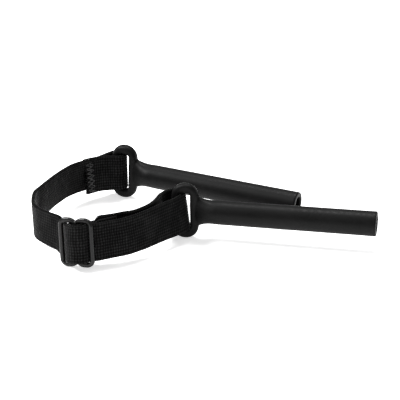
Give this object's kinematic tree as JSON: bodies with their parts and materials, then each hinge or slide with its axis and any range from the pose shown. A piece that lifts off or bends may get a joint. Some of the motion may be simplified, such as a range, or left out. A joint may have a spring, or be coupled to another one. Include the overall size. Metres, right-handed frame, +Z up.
{
  "type": "eyeglass retainer strap",
  "caption": "Woven elastic strap with a figure-eight slider, joining soft tubular sleeves that push onto the tips of a pair of glasses' temples.",
  "frame": {"origin": "middle of the bounding box in plan, at its lowest face, where the rings stand", "axes": "+X along the sleeves towards their open mouths, +Y towards the set with the strap's plain folded end, +Z up across the strap's width"},
  "size_m": [0.1336, 0.0782, 0.023],
  "materials": {
    "silicone": "satin black silicone",
    "webbing": "black ribbed woven elastic",
    "coated_metal": "gloss black coating on bent wire",
    "thread": "black polyester thread"
  },
  "bodies": {
    "rear_strap": {"strap_rear_tail": "webbing", "strap_rear_fold": "webbing", "strap_rear_run": "webbing", "strap_bend": "webbing", "rear_stitching": "thread"},
    "rear_sleeve": {"rear_sleeve": "silicone"},
    "front_strap": {"strap_front_run": "webbing", "strap_outer_run": "webbing", "strap_front_fold": "webbing", "strap_inner_run": "webbing"},
    "slider": {"slider": "coated_metal", "strap_through_slider": "webbing", "strap_end_fold": "webbing", "strap_front_tail": "webbing", "front_stitching": "thread"},
    "front_sleeve": {"front_sleeve": "silicone"}
  },
  "joints": [
    {"name": "strap_flex", "type": "hinge", "parent": "rear_strap", "child": "front_strap", "pos_m": [-0.06566, -0.00254, 0.0115], "axis": [0, 0, -1], "range_deg": [0, 40], "stiffness_Nm_per_rad": 0.003, "deforming": ["strap_bend"]},
    {"name": "rear_sleeve_swing", "type": "hinge", "parent": "rear_strap", "child": "rear_sleeve", "pos_m": [-0.04769, 0.03515, 0.0115], "axis": [0, 0, 1], "range_deg": [-3, 90]},
    {"name": "front_sleeve_swing", "type": "hinge", "parent": "front_strap", "child": "front_sleeve", "pos_m": [-0.01254, 0.00393, 0.0115], "axis": [0, 0, -1], "range_deg": [-3, 45]},
    {"name": "slider_slide", "type": "slide", "parent": "front_strap", "child": "slider", "axis": [0.9938, -0.1115, 0], "range_m": [-0.006, 0.006], "deforming": ["strap_front_run", "strap_outer_run", "strap_inner_run"]}
  ]
}
